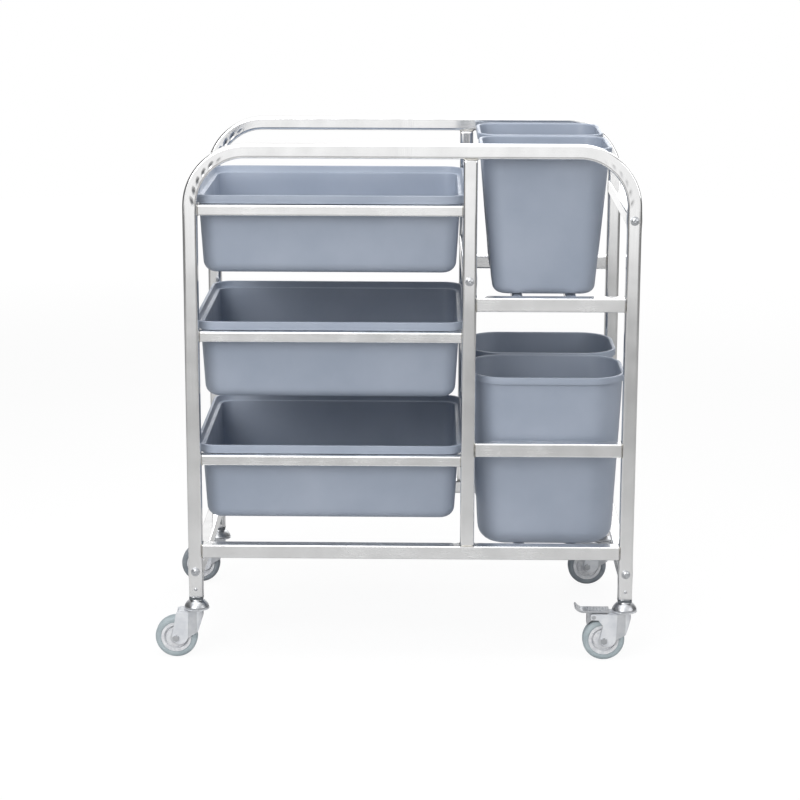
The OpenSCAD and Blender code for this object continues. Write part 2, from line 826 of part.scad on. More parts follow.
front_bow();
rear_bow();
front_mid_post();
rear_mid_post();
front_bottom_rail();
rear_bottom_rail();
front_shelf_rail();
rear_shelf_rail();
front_guard_rail();
rear_guard_rail();
front_upper_tub_rail();
front_middle_tub_rail();
front_lower_tub_rail();
rear_upper_tub_rail();
rear_middle_tub_rail();
rear_lower_tub_rail();
left_cross_tube();
right_cross_tube();
mid_cross_tube();
high_cross_tube();
shelf_bearers();
floor_bearers();
frame_bolts();
leg_plugs();
plug_rivets();
upper_tub();
middle_tub();
lower_tub();
front_upper_bin();
rear_upper_bin();
front_lower_bin();
rear_lower_bin();
front_left_stem();
front_left_fork();
front_left_axle();
front_left_tyre();
front_left_wheel_centre();
front_right_stem();
front_right_fork();
front_right_axle();
front_right_tyre();
front_right_wheel_centre();
rear_left_stem();
rear_left_fork();
rear_left_axle();
rear_left_tyre();
rear_left_wheel_centre();
rear_right_stem();
rear_right_fork();
rear_right_axle();
rear_right_tyre();
rear_right_wheel_centre();
front_right_brake_pedal();
front_right_brake_pin();
rear_right_brake_pedal();
rear_right_brake_pin();
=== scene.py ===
import math

import bmesh
import bpy
from mathutils import Matrix, Vector


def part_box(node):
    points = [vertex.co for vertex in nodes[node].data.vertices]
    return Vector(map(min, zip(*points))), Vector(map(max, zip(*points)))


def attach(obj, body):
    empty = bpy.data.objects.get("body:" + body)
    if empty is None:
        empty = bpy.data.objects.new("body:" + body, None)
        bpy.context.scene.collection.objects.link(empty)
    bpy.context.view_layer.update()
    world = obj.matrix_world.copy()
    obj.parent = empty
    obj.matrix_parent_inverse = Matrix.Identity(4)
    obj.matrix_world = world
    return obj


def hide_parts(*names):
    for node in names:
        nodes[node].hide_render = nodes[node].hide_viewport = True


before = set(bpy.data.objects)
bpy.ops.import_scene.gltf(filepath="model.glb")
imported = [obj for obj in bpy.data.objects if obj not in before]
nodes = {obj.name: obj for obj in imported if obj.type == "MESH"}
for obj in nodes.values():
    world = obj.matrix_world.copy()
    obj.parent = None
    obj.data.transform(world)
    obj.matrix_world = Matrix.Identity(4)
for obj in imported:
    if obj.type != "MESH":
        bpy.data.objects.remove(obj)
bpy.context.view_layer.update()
mm = 0.001
metre = 1000  # mm; a pattern's size divides it to give the pattern's scale
mergeGap = 1e-6  # metres; points closer than this become one
print("frame loaded:", len(nodes), "nodes")


# colours are written as sRGB hex and turned linear here
def linear(hexText):
    parts = [int(hexText[i:i + 2], 16) / 255 for i in (1, 3, 5)]
    return [c / 12.92 if c <= 0.04045 else ((c + 0.055) / 1.055) ** 2.4 for c in parts] + [1.0]


# adds one node, sets its settings, and fills its sockets with values or links
def addNode(mat, kind, sockets=None, **settings):
    node = mat.node_tree.nodes.new(kind)
    for name, value in settings.items():
        setattr(node, name, value)
    for name, value in (sockets or {}).items():
        if isinstance(value, bpy.types.NodeSocket):
            mat.node_tree.links.new(value, node.inputs[name])
        else:
            node.inputs[name].default_value = value
    return node


def newMaterial(name):
    mat = bpy.data.materials.new(name)
    mat.use_nodes = True
    mat.node_tree.nodes.clear()
    return mat


def endMaterial(mat, shader):
    addNode(mat, "ShaderNodeOutputMaterial", {"Surface": shader.outputs[0]})
    return mat


# Stainless steel tube, drawn and buffed to a mirror: clear reflections that waver along the tube,
# fine polish lines, and a few duller patches where it was handled. Lengths are in mm.
stainless = {
    "colour": ("#E9E9E9", "#F3F3F3"), "colourAt": (0.35, 0.62),
    "roughness": (0.07, 0.15), "railRoughness": (0.17, 0.3), "roughFrom": (0.12, 0.4),
    "lineLength": 120, "lineWidth": 2.2,  # real polish lines are finer than a pixel
    "lineHeight": 0.5, "lineBump": 0.01, "smudge": 60,
    "waveLength": 160, "waveWidth": 30, "waveHeight": 2, "waveBump": 0.07,
    # colour and share of the painted shade in the dents of the bends
    "creaseShadeColour": "#4A4E55", "creaseFull": 0.75, "creaseShadeShare": 0.8,
}


def polishedStainless(name, along):
    s = stainless
    mat = newMaterial(name)
    if along == "flow":  # bent tubes carry their own run as an attribute
        place = addNode(mat, "ShaderNodeAttribute", attribute_name="flow").outputs["Vector"]
        runs = [True, False, False]
    else:
        place = addNode(mat, "ShaderNodeTexCoord").outputs["Object"]
        runs = [along == axis for axis in "XYZ"]
    lineScale = [metre / (s["lineLength"] if run else s["lineWidth"]) for run in runs]
    waveScale = [metre / (s["waveLength"] if run else s["waveWidth"]) for run in runs]
    lines = addNode(mat, "ShaderNodeMapping", {"Vector": place, "Scale": lineScale})
    waves = addNode(mat, "ShaderNodeMapping", {"Vector": place, "Scale": waveScale})
    line = addNode(mat, "ShaderNodeTexNoise", {"Vector": lines.outputs[0], "Scale": 1, "Detail": 3})
    wave = addNode(mat, "ShaderNodeTexNoise", {"Vector": waves.outputs[0], "Scale": 1, "Detail": 1})
    smudge = addNode(mat, "ShaderNodeTexNoise", {
        "Vector": place, "Scale": metre / s["smudge"], "Detail": 4})
    tone = addNode(mat, "ShaderNodeValToRGB", {"Fac": smudge.outputs[0]})
    for stop, position, hexText in zip(tone.color_ramp.elements, s["colourAt"], s["colour"]):
        stop.position = position
        stop.color = linear(hexText)
    colour = tone.outputs[0]
    if along == "flow":  # painted shade darkens the dents in the creases of the bends
        crease = addNode(mat, "ShaderNodeAttribute", attribute_name="crease").outputs["Fac"]
        creaseShade = addNode(mat, "ShaderNodeMapRange", {
            "Value": crease, "From Max": s["creaseFull"], "To Max": s["creaseShadeShare"]})
        colour = addNode(mat, "ShaderNodeMix", {  # factor, then the two colours
            0: creaseShade.outputs[0], 6: colour, 7: linear(s["creaseShadeColour"])}, data_type="RGBA").outputs[2]
    low, high = s["railRoughness"] if along == "X" else s["roughness"]  # rails are only brushed
    both = addNode(mat, "ShaderNodeMath", {
        0: line.outputs[0], 1: smudge.outputs[0]}, operation="MULTIPLY")
    rough = addNode(mat, "ShaderNodeMapRange", {
        "Value": both.outputs[0], "From Min": s["roughFrom"][0], "From Max": s["roughFrom"][1],
        "To Min": low, "To Max": high})
    sway = addNode(mat, "ShaderNodeBump", {
        "Height": wave.outputs[0], "Strength": s["waveBump"], "Distance": s["waveHeight"] * mm})
    relief = addNode(mat, "ShaderNodeBump", {
        "Height": line.outputs[0], "Strength": s["lineBump"], "Distance": s["lineHeight"] * mm,
        "Normal": sway.outputs[0]})
    shader = addNode(mat, "ShaderNodeBsdfPrincipled", {
        "Base Color": colour, "Metallic": 1.0, "Roughness": rough.outputs[0],
        "Normal": relief.outputs[0]})
    return endMaterial(mat, shader)


# TIG weld on stainless, wire-brushed after welding: duller than the tube, with a trace of heat tint
# in patches of a few mm.
weldBead = {
    "tints": ("#A2A2A0", "#C2BFB8", "#AEB1B6"), "tintAt": (0.3, 0.5, 0.7), "roughness": 0.34, "patch": 9,
}


def heatTintedWeld():
    s = weldBead
    mat = newMaterial("heatTintedWeld")
    place = addNode(mat, "ShaderNodeTexCoord").outputs["Object"]
    patch = addNode(mat, "ShaderNodeTexNoise", {
        "Vector": place, "Scale": metre / s["patch"], "Detail": 2})
    tint = addNode(mat, "ShaderNodeValToRGB", {"Fac": patch.outputs[0]})
    tint.color_ramp.elements.new(s["tintAt"][1])
    for stop, position, hexText in zip(tint.color_ramp.elements, s["tintAt"], s["tints"]):
        stop.position = position
        stop.color = linear(hexText)
    shader = addNode(mat, "ShaderNodeBsdfPrincipled", {
        "Base Color": tint.outputs[0], "Metallic": 1.0, "Roughness": s["roughness"]})
    return endMaterial(mat, shader)


# Zinc-plated pressed steel with a clear chromate: pale blue-grey, cloudy, with soft reflections;
# the pressings are half matt under their chromate and are also painted paler than the turned pieces,
# whose zinc is painted darker to dim the highlight on the swivel cap: painted light and painted shade.
zinc = {
    "colour": ("#DFE2E7", "#EEF0F3"), "colourAt": (0.33, 0.66), "roughFrom": (0.3, 0.7),
    "cloud": 14, "grain": 1.2, "grainHeight": 0.4, "bump": 0.015,
}


def zincPlate(name, darken, roughness, metallic):
    s = zinc
    mat = newMaterial(name)
    place = addNode(mat, "ShaderNodeTexCoord").outputs["Object"]
    cloud = addNode(mat, "ShaderNodeTexNoise", {
        "Vector": place, "Scale": metre / s["cloud"], "Detail": 5})
    grain = addNode(mat, "ShaderNodeTexNoise", {
        "Vector": place, "Scale": metre / s["grain"], "Detail": 2})
    tone = addNode(mat, "ShaderNodeValToRGB", {"Fac": cloud.outputs[0]})
    for stop, position, hexText in zip(tone.color_ramp.elements, s["colourAt"], s["colour"]):
        stop.position = position
        stop.color = [c * darken for c in linear(hexText)[:3]] + [1]
    rough = addNode(mat, "ShaderNodeMapRange", {
        "Value": cloud.outputs[0], "From Min": s["roughFrom"][0], "From Max": s["roughFrom"][1],
        "To Min": roughness[0], "To Max": roughness[1]})
    relief = addNode(mat, "ShaderNodeBump", {
        "Height": grain.outputs[0], "Strength": s["bump"], "Distance": s["grainHeight"] * mm})
    shader = addNode(mat, "ShaderNodeBsdfPrincipled", {
        "Base Color": tone.outputs[0], "Metallic": metallic, "Roughness": rough.outputs[0],
        "Normal": relief.outputs[0]})
    return endMaterial(mat, shader)


# Polypropylene, injection moulded with a fine spark-eroded skin: satin blue-grey, a little cloudy,
# with faint scuffs that run up and down the walls.
moulded = {
    "colour": ("#97A1B1", "#A4ADBC"), "colourAt": (0.3, 0.7),
    "roughness": (0.36, 0.5), "roughFrom": (0.3, 0.7), "ior": 1.49,
    "cloud": 120, "skin": 1.1, "skinHeight": 0.3, "bump": 0.06,
    "scuff": 26, "scuffsPerMetre": 9,  # width in mm, and how many follow one another up a wall
}


def mouldedPolypropylene():
    s = moulded
    mat = newMaterial("mouldedPolypropylene")
    place = addNode(mat, "ShaderNodeTexCoord").outputs["Object"]
    cloud = addNode(mat, "ShaderNodeTexNoise", {
        "Vector": place, "Scale": metre / s["cloud"], "Detail": 4})
    skin = addNode(mat, "ShaderNodeTexNoise", {
        "Vector": place, "Scale": metre / s["skin"], "Detail": 2})
    tall = addNode(mat, "ShaderNodeMapping", {
        "Vector": place, "Scale": (metre / s["scuff"], metre / s["scuff"], s["scuffsPerMetre"])})
    scuff = addNode(mat, "ShaderNodeTexNoise", {"Vector": tall.outputs[0], "Scale": 1, "Detail": 5})
    tone = addNode(mat, "ShaderNodeValToRGB", {"Fac": cloud.outputs[0]})
    for stop, position, hexText in zip(tone.color_ramp.elements, s["colourAt"], s["colour"]):
        stop.position = position
        stop.color = linear(hexText)
    rough = addNode(mat, "ShaderNodeMapRange", {
        "Value": scuff.outputs[0], "From Min": s["roughFrom"][0], "From Max": s["roughFrom"][1],
        "To Min": s["roughness"][0], "To Max": s["roughness"][1]})
    relief = addNode(mat, "ShaderNodeBump", {
        "Height": skin.outputs[0], "Strength": s["bump"], "Distance": s["skinHeight"] * mm})
    shader = addNode(mat, "ShaderNodeBsdfPrincipled", {
        "Base Color": tone.outputs[0], "Roughness": rough.outputs[0], "IOR": s["ior"],
        "Normal": relief.outputs[0]})
    return endMaterial(mat, shader)


# Thermoplastic rubber tread: matt grey with floor dust worked into it
rubber = {
    "roughness": (0.55, 0.72), "roughFrom": (0.3, 0.7), "ior": 1.5,
    "dust": 18, "dustAt": (0.32, 0.68), "grain": 0.9, "grainHeight": 0.4, "bump": 0.1,
}


def treadRubber(name, dark, light):
    s = rubber
    mat = newMaterial(name)
    place = addNode(mat, "ShaderNodeTexCoord").outputs["Object"]
    dust = addNode(mat, "ShaderNodeTexNoise", {
        "Vector": place, "Scale": metre / s["dust"], "Detail": 5})
    grain = addNode(mat, "ShaderNodeTexNoise", {
        "Vector": place, "Scale": metre / s["grain"], "Detail": 3})
    tone = addNode(mat, "ShaderNodeValToRGB", {"Fac": dust.outputs[0]})
    for stop, position, hexText in zip(tone.color_ramp.elements, s["dustAt"], (dark, light)):
        stop.position = position
        stop.color = linear(hexText)
    rough = addNode(mat, "ShaderNodeMapRange", {
        "Value": dust.outputs[0], "From Min": s["roughFrom"][0], "From Max": s["roughFrom"][1],
        "To Min": s["roughness"][1], "To Max": s["roughness"][0]})
    relief = addNode(mat, "ShaderNodeBump", {
        "Height": grain.outputs[0], "Strength": s["bump"], "Distance": s["grainHeight"] * mm})
    shader = addNode(mat, "ShaderNodeBsdfPrincipled", {
        "Base Color": tone.outputs[0], "Roughness": rough.outputs[0], "IOR": s["ior"],
        "Normal": relief.outputs[0]})
    return endMaterial(mat, shader)


# Moulded nylon and polyethylene: plain smooth plastics with a faint flow pattern
plastic = {"colourAt": (0.35, 0.65), "bump": 0.08, "flowHeight": 0.3, "ior": 1.5}


def smoothPlastic(name, dark, light, roughness, flow):
    s = plastic
    mat = newMaterial(name)
    place = addNode(mat, "ShaderNodeTexCoord").outputs["Object"]
    swirl = addNode(mat, "ShaderNodeTexNoise", {"Vector": place, "Scale": metre / flow, "Detail": 4})
    tone = addNode(mat, "ShaderNodeValToRGB", {"Fac": swirl.outputs[0]})
    for stop, position, hexText in zip(tone.color_ramp.elements, s["colourAt"], (dark, light)):
        stop.position = position
        stop.color = linear(hexText)
    relief = addNode(mat, "ShaderNodeBump", {
        "Height": swirl.outputs[0], "Strength": s["bump"], "Distance": s["flowHeight"] * mm})
    shader = addNode(mat, "ShaderNodeBsdfPrincipled", {
        "Base Color": tone.outputs[0], "Roughness": roughness, "IOR": s["ior"],
        "Normal": relief.outputs[0]})
    return endMaterial(mat, shader)


bentSteel = polishedStainless("polishedStainlessBent", "flow")
steelAlong = {axis: polishedStainless("polishedStainless" + axis, axis) for axis in "XYZ"}
weldMetal = heatTintedWeld()
# turned pieces: zinc darkened to dim the highlight on the swivel cap, painted shade
zincBright = zincPlate("zincPlateBright", darken=0.62, roughness=(0.3, 0.4), metallic=1.0)
# forks: half-matt zinc, also painted paler, painted light
zincSatin = zincPlate("zincPlateSatin", darken=0.94, roughness=(0.42, 0.55), metallic=0.45)
# darker zinc for the forks' flat cheeks: painted shade beside the raised strap and the nose
zincCheekShade = zincPlate("zincPlateCheekShade", darken=0.72, roughness=(0.3, 0.42), metallic=0.5)
zincDull = zincPlate("zincPlateDull", darken=0.66, roughness=(0.28, 0.4), metallic=1.0)
tubPlastic = mouldedPolypropylene()
treads = {
    "front": treadRubber("greyTreadRubber", "#9FABB0", "#B2BDC1"),
    # the rear tyres take a darker copy of the rubber: painted shade, as they stand under the trolley
    "rear": treadRubber("shadedRearTreadRubber", "#80878E", "#92999F"),
}
wheelNylon = smoothPlastic("mouldedNylon", "#D3D5D9", "#E9EAEC", roughness=0.34, flow=7)
plugPlastic = smoothPlastic("greyPolyethylene", "#4F5459", "#62676C", roughness=0.34, flow=6)
print("materials made:", len(bpy.data.materials))


# turns a finished bmesh into a piece that rides a body and stands for CAD nodes
def finishPiece(bm, name, mat, body, stands=(), sharp=38, flats=False):
    for face in bm.faces:
        face.smooth = True
    for edge in bm.edges:
        edge.smooth = not (len(edge.link_faces) == 2 and edge.calc_face_angle(0) > math.radians(sharp))
    mesh = bpy.data.meshes.new(name)
    bm.to_mesh(mesh)
    bm.free()
    mesh.materials.append(mat)
    piece = bpy.data.objects.new(name, mesh)
    bpy.context.scene.collection.objects.link(piece)
    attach(piece, body)
    if stands:
        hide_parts(*stands)
    if flats:  # flat faces keep their own normals beside rolled edges
        piece.modifiers.new("flatNormals", "WEIGHTED_NORMAL").keep_sharp = True
    return piece


# gives an open skin its wall, inwards
def addWall(piece, name, thickness, even=False):
    shell = piece.modifiers.new(name, "SOLIDIFY")
    shell.thickness = thickness * mm
    shell.offset = -1
    shell.use_even_offset = even


def vertsIn(geom):
    return [g for g in geom if isinstance(g, bmesh.types.BMVert)]


def openEdgesIn(geom):
    return [g for g in geom if isinstance(g, bmesh.types.BMEdge) and g.is_boundary]


# each edge at some vertices once, in a fixed order
def edgesAt(verts):
    return list(dict.fromkeys(e for v in verts for e in v.link_edges))


# rounds every edge that is sharper than the limit
def softenEdges(bm, width, segments=2, limit=32):
    sharp = [e for e in bm.edges if len(e.link_faces) == 2 and e.calc_face_angle(0) > math.radians(limit)]
    bmesh.ops.bevel(bm, geom=sharp, offset=width, segments=segments, profile=0.5,
                    affect="EDGES", material=-1, clamp_overlap=True)


# merged copy of a CAD node's mesh, with its flat faces joined up again
def copyOf(node, flatAngle=0.4):
    bm = bmesh.new()
    bm.from_mesh(nodes[node].data)
    bmesh.ops.remove_doubles(bm, verts=bm.verts, dist=2 * mergeGap)
    bmesh.ops.dissolve_limit(bm, angle_limit=math.radians(flatAngle), verts=bm.verts, edges=bm.edges)
    return bm


# spins an outline of (radius, height) points, in mm, once round an axis through the centre
def turnOutline(bm, points, centre, axis, steps=56, closed=False):
    out, up = Vector((1, 0, 0)), Vector(axis)
    ring = [bm.verts.new(centre + (out * r + up * h) * mm) for r, h in points]
    edges = [bm.edges.new(pair) for pair in zip(ring, ring[1:])]
    if closed:
        edges.append(bm.edges.new((ring[-1], ring[0])))
    before = set(bm.faces)
    bmesh.ops.spin(bm, geom=ring + edges, cent=centre, axis=axis, angle=math.tau, steps=steps, use_merge=True)
    bmesh.ops.remove_doubles(bm, verts=bm.verts, dist=mergeGap)
    made = [f for f in bm.faces if f not in before]
    bmesh.ops.recalc_face_normals(bm, faces=made)


# face with the outline of a rounded rectangle, lying in XY round the origin
def roundFace(bm, width, depth, corner, segments, cuts=0):
    made = bmesh.ops.create_grid(bm, x_segments=1, y_segments=1, size=0.5)
    bmesh.ops.scale(bm, vec=(width, depth, 1), verts=made["verts"])
    bmesh.ops.bevel(bm, geom=made["verts"], offset=corner, segments=segments, profile=0.5,
                    affect="VERTICES", material=-1)
    face = max(bm.faces, key=lambda f: len(f.verts))
    if cuts:  # only the straight sides are longer than a corner
        sides = [e for e in face.edges if e.calc_length() > corner * 1.2]
        bmesh.ops.subdivide_edges(bm, edges=sides, cuts=cuts)
    return max(bm.faces, key=lambda f: len(f.verts))


# open ring of a square tube, lying in XY at a place
def tubeRing(bm, width, depth, corner, cuts, place, cornerSteps=4):
    face = roundFace(bm, width, depth, corner, cornerSteps, cuts)
    ring = list(face.edges)
    bmesh.ops.delete(bm, geom=[face], context="FACES_ONLY")
    bmesh.ops.translate(bm, vec=place, verts=bm.verts)
    return ring


# carries a ring of edges along by steps, and gives back its far end
def carryRing(bm, ring, step, count):
    for _ in range(count):
        made = bmesh.ops.extrude_edge_only(bm, edges=ring)["geom"]
        bmesh.ops.translate(bm, vec=step, verts=vertsIn(made))
        ring = openEdgesIn(made)
    return ring


# carries a ring of edges through a quarter turn, and gives back its far end
def turnRing(bm, ring, centre, axis, steps):
    geom = list(dict.fromkeys(v for e in ring for v in e.verts)) + ring
    done = bmesh.ops.spin(bm, geom=geom, cent=centre, axis=axis, angle=math.pi / 2, steps=steps)
    return openEdgesIn(done["geom_last"])


def fade(value, low, high):
    t = min(1.0, max(0.0, (value - low) / (high - low)))
    return t * t * (3 - 2 * t)


# Bows: one square tube bent cold, which leaves short slanting dents in the side faces of its bends;
# lengths in mm, dents in shares of their spacing and of half the tube, dentEnd in radians
bow = {
    "tube": 25, "wall": 1.2, "corner": 4.2, "bendRadius": 97.5,
    "sideCuts": 12, "bendSteps": 80, "legSteps": 96, "barSteps": 24,
    "dents": 8, "dentDepth": 1.0, "dentAt": -0.32, "dentSlant": 0.5, "dentLength": 0.32, "dentWidth": 0.17,
    "dentFace": (0.9, 0.99), "dentEnd": (0.35, 0.7),
    "rightShare": 0.3,  # the right-hand bends came out smoother
    "boltBulge": 1.1, "bulgeReach": 13, "bulgeFall": 0.7, "bulgeFace": 0.9,
}


def makeBow(node, name, boltHeights):
    s = bow
    lo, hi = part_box(node)
    centreY = (lo.y + hi.y) / 2
    tube, half, bend = s["tube"] * mm, s["tube"] / 2 * mm, s["bendRadius"] * mm
    leftX, rightX, barZ = lo.x + half, hi.x - half, hi.z - half
    bendZ = barZ - bend
    legStep = Vector((0, 0, (bendZ - lo.z) / s["legSteps"]))
    barStep = Vector(((rightX - leftX - 2 * bend) / s["barSteps"], 0, 0))
    bm = bmesh.new()
    ring = tubeRing(bm, tube, tube, s["corner"] * mm, s["sideCuts"], (leftX, centreY, lo.z))
    ring = carryRing(bm, ring, legStep, s["legSteps"])
    ring = turnRing(bm, ring, Vector((leftX + bend, centreY, bendZ)), (0, 1, 0), s["bendSteps"])
    ring = carryRing(bm, ring, barStep, s["barSteps"])
    ring = turnRing(bm, ring, Vector((rightX - bend, centreY, bendZ)), (0, 1, 0), s["bendSteps"])
    carryRing(bm, ring, -legStep, s["legSteps"])
    bmesh.ops.remove_doubles(bm, verts=bm.verts, dist=mergeGap)
    bmesh.ops.recalc_face_normals(bm, faces=bm.faces)

    flow = bm.verts.layers.float_vector.new("flow")
    crease = bm.verts.layers.float.new("crease")
    quarter = bend * math.pi / 2
    faceLow, faceHigh = (half * share for share in s["dentFace"])
    for v in bm.verts:
        onLeft = v.co.x < (leftX + rightX) / 2
        centre = Vector((leftX + bend if onLeft else rightX - bend, 0, bendZ))
        side = -1 if onLeft else 1
        dx, dz = (v.co.x - centre.x) * side, v.co.z - bendZ
        y = v.co.y - centreY
        if dx > 0 and dz > 0:  # in a bend
            angle = math.atan2(dz, dx)
            radial = math.hypot(dx, dz) - bend
            run = bend * angle
            cycle = angle / (math.pi / 2) * s["dents"]
            local = cycle - math.floor(cycle) - 0.5
            across = radial / half - s["dentAt"] - s["dentSlant"] * local
            mark = math.exp(-(local / s["dentLength"]) ** 2 - (across / s["dentWidth"]) ** 2)
            mark *= fade(abs(y), faceLow, faceHigh) * fade(math.pi / 2 - angle, *s["dentEnd"])
            mark *= 1 if onLeft else s["rightShare"]
            # the dent mark also sets where the steel is painted with shade
            v[crease] = mark
            v.co.y -= math.copysign(s["dentDepth"] * mm * mark, y)
        elif dz <= 0:  # in a leg
            radial, run = dx - bend, dz
            for height in boltHeights["left" if onLeft else "right"]:
                near = math.exp(-((v.co.z - height) / (s["bulgeReach"] * mm)) ** 2)
                if abs(radial) > half * s["bulgeFace"]:
                    rise = s["boltBulge"] * mm * near * (1 - (y / half) ** 2 * s["bulgeFall"])
                    v.co.x += math.copysign(rise, radial) * side
        else:  # in the bar
            radial, run = dz - bend, quarter - dx
        v[flow] = (run * side, radial, y)
    piece = finishPiece(bm, name, bentSteel, "frame", [node], sharp=60)
    addWall(piece, "tubeWall", s["wall"])


# heights of the frame bolts in each leg and post, in metres
boltZ = {"low": 0.162, "mid": 0.695, "high": 0.803}
for side in ("front", "rear"):
    makeBow(side + "_bow", side + "Bow", {"left": [boltZ["low"]], "right": [boltZ["low"], boltZ["high"]]})
print("bows bent")


# Mid posts: straight tube, pulled a little out of square where the bolt is tightened
post = {
    "corner": 4.2, "sideCuts": 5, "steps": 120, "wall": 1.2,
    "bulge": 1.1, "reach": 13, "bulgeFall": 0.7, "bulgeFace": 0.9,
}


def makePost(node, name):
    s = post
    lo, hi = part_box(node)
    width = hi.x - lo.x
    middle = (lo + hi) / 2
    bm = bmesh.new()
    ring = tubeRing(bm, width, hi.y - lo.y, s["corner"] * mm, s["sideCuts"], (middle.x, middle.y, lo.z))
    carryRing(bm, ring, Vector((0, 0, (hi.z - lo.z) / s["steps"])), s["steps"])
    bmesh.ops.recalc_face_normals(bm, faces=bm.faces)
    for v in bm.verts:
        near = math.exp(-((v.co.z - boltZ["mid"]) / (s["reach"] * mm)) ** 2)
        dx = v.co.x - middle.x
        if abs(dx) > width / 2 * s["bulgeFace"]:
            across = (v.co.y - middle.y) / (width / 2)
            v.co.x += math.copysign(s["bulge"] * mm * near * (1 - across ** 2 * s["bulgeFall"]), dx)
    piece = finishPiece(bm, name, steelAlong["Z"], "frame", [node], sharp=60)
    addWall(piece, "tubeWall", s["wall"])


for side in ("front", "rear"):
    makePost(side + "_mid_post", side + "MidPost")

# straight rails, cross tubes and bearers keep their CAD solids and take the steel along their own run
railRuns = {
    "X": [n for n in nodes if n.endswith("_rail")],
    "Y": [n for n in nodes if n.endswith("_cross_tube") or n.endswith("_bearers")],
}
for axis, names in railRuns.items():
    for name in names:
        nodes[name].data.materials.clear()
        nodes[name].data.materials.append(steelAlong[axis])
nodes["leg_plugs"].data.materials.clear()
nodes["leg_plugs"].data.materials.append(plugPlastic)
print("posts and rails dressed")


# Weld beads: a rippled ring at each end of a rail, post or bearer
bead = {
    "radius": 1.25, "sides": 8, "corner": 3, "cornerSteps": 4,
    "ripple": 0.11, "pitch": 2.6, "bearerWidth": 20,
}


def makeBead(width, depth):
    s = bead
    bm = bmesh.new()
    r, corner = s["radius"] * mm, s["corner"] * mm
    turnTo = Matrix.Translation((0, -depth / 2, 0)) @ Matrix.Rotation(math.pi / 2, 4, "Y")
    made = bmesh.ops.create_circle(bm, cap_ends=False, segments=s["sides"], radius=r, matrix=turnTo)
    ring = edgesAt(made["verts"])
    sides = [(width / 2 - corner, Vector((1, 0, 0))), (depth - 2 * corner, Vector((0, 1, 0))),
             (width - 2 * corner, Vector((-1, 0, 0))), (depth - 2 * corner, Vector((0, -1, 0))),
             (width / 2 - corner, Vector((1, 0, 0)))]
    corners = [Vector((sx * (width / 2 - corner), sy * (depth / 2 - corner), 0))
               for sx, sy in ((1, -1), (1, 1), (-1, 1), (-1, -1))]
    for index, (length, way) in enumerate(sides):
        count = max(2, round(length / (s["pitch"] * mm / 2)))
        ring = carryRing(bm, ring, way * (length / count), count)
        if index < len(corners):
            ring = turnRing(bm, ring, corners[index], (0, 0, 1), s["cornerSteps"])
    bmesh.ops.remove_doubles(bm, verts=bm.verts, dist=mergeGap)
    for v in bm.verts:
        angle = math.atan2(v.co.y, v.co.x)
        v.co.z *= 1 + s["ripple"] * math.sin(angle * (width + depth) / mm / s["pitch"])
    bmesh.ops.recalc_face_normals(bm, faces=bm.faces)
    mesh = bpy.data.meshes.new("bead")
    bm.to_mesh(mesh)
    bm.free()
    return mesh


beads = bmesh.new()
beadShapes = {}
for name in railRuns["X"] + ["front_mid_post", "rear_mid_post", "shelf_bearers", "floor_bearers"]:
    lo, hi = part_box(name)
    mid = (lo + hi) / 2
    if name in railRuns["X"]:
        turn = Matrix.Rotation(math.pi / 2, 4, "Y")
        spots = [(Vector((x, mid.y, mid.z)), turn) for x in (lo.x, hi.x)]
        width, depth = hi.z - lo.z, hi.y - lo.y
    elif name.endswith("post"):
        spots = [(Vector((mid.x, mid.y, z)), Matrix.Identity(4)) for z in (lo.z, hi.z)]
        width, depth = hi.x - lo.x, hi.y - lo.y
    else:
        width, depth = bead["bearerWidth"] * mm, hi.z - lo.z
        turn = Matrix.Rotation(math.pi / 2, 4, "X")
        spots = [(Vector((x, y, mid.z)), turn)
                 for x in (lo.x + width / 2, hi.x - width / 2) for y in (lo.y, hi.y)]
    size = (round(width, 5), round(depth, 5))
    if size not in beadShapes:
        beadShapes[size] = makeBead(*size)
    for spot, turn in spots:
        known = len(beads.verts)
        beads.from_mesh(beadShapes[size])
        beads.verts.ensure_lookup_table()
        bmesh.ops.transform(beads, matrix=Matrix.Translation(spot) @ turn, verts=beads.verts[known:])
for mesh in beadShapes.values():
    bpy.data.meshes.remove(mesh)
finishPiece(beads, "weldBeads", weldMetal, "frame", sharp=80)

# Rail ends: thin plates welded into the tub rails, which end beside the legs
railEnd = {"wall": 1.2, "thick": 1.5, "inset": 0.4, "corner": 1.5, "cornerSteps": 3}
bm = bmesh.new()
for name in [n for n in railRuns["X"] if n.endswith("_tub_rail")]:
    lo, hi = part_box(name)
    bore = [hi[i] - lo[i] - 2 * railEnd["wall"] * mm for i in (1, 2)]
    reachIn = (railEnd["inset"] + railEnd["thick"] / 2) * mm
    for x in (lo.x + reachIn, hi.x - reachIn):
        made = bmesh.ops.create_cube(bm, size=1.0)["verts"]
        bmesh.ops.scale(bm, vec=(railEnd["thick"] * mm, *bore), verts=made)
        bmesh.ops.translate(bm, vec=(x, (lo.y + hi.y) / 2, (lo.z + hi.z) / 2), verts=made)
        along = [e for e in edgesAt(made) if abs(e.verts[0].co.x - e.verts[1].co.x) > 10 * mergeGap]
        bmesh.ops.bevel(bm, geom=along, offset=railEnd["corner"] * mm, segments=railEnd["cornerSteps"],
                        profile=0.5, affect="EDGES", material=-1)
finishPiece(bm, "railEnds", steelAlong["Z"], "frame")
print("welds laid")


# Frame bolts and plug rivets: CAD shapes with their edges rolled off by a width in mm
fasteners = {"frame_bolts": ("frameBolts", 0.3), "plug_rivets": ("plugRivets", 0.15)}
for node, (name, width) in fasteners.items():
    bm = copyOf(node)
    softenEdges(bm, width * mm)
    finishPiece(bm, name, zincDull, "frame", [node])
print("bolts and rivets made")


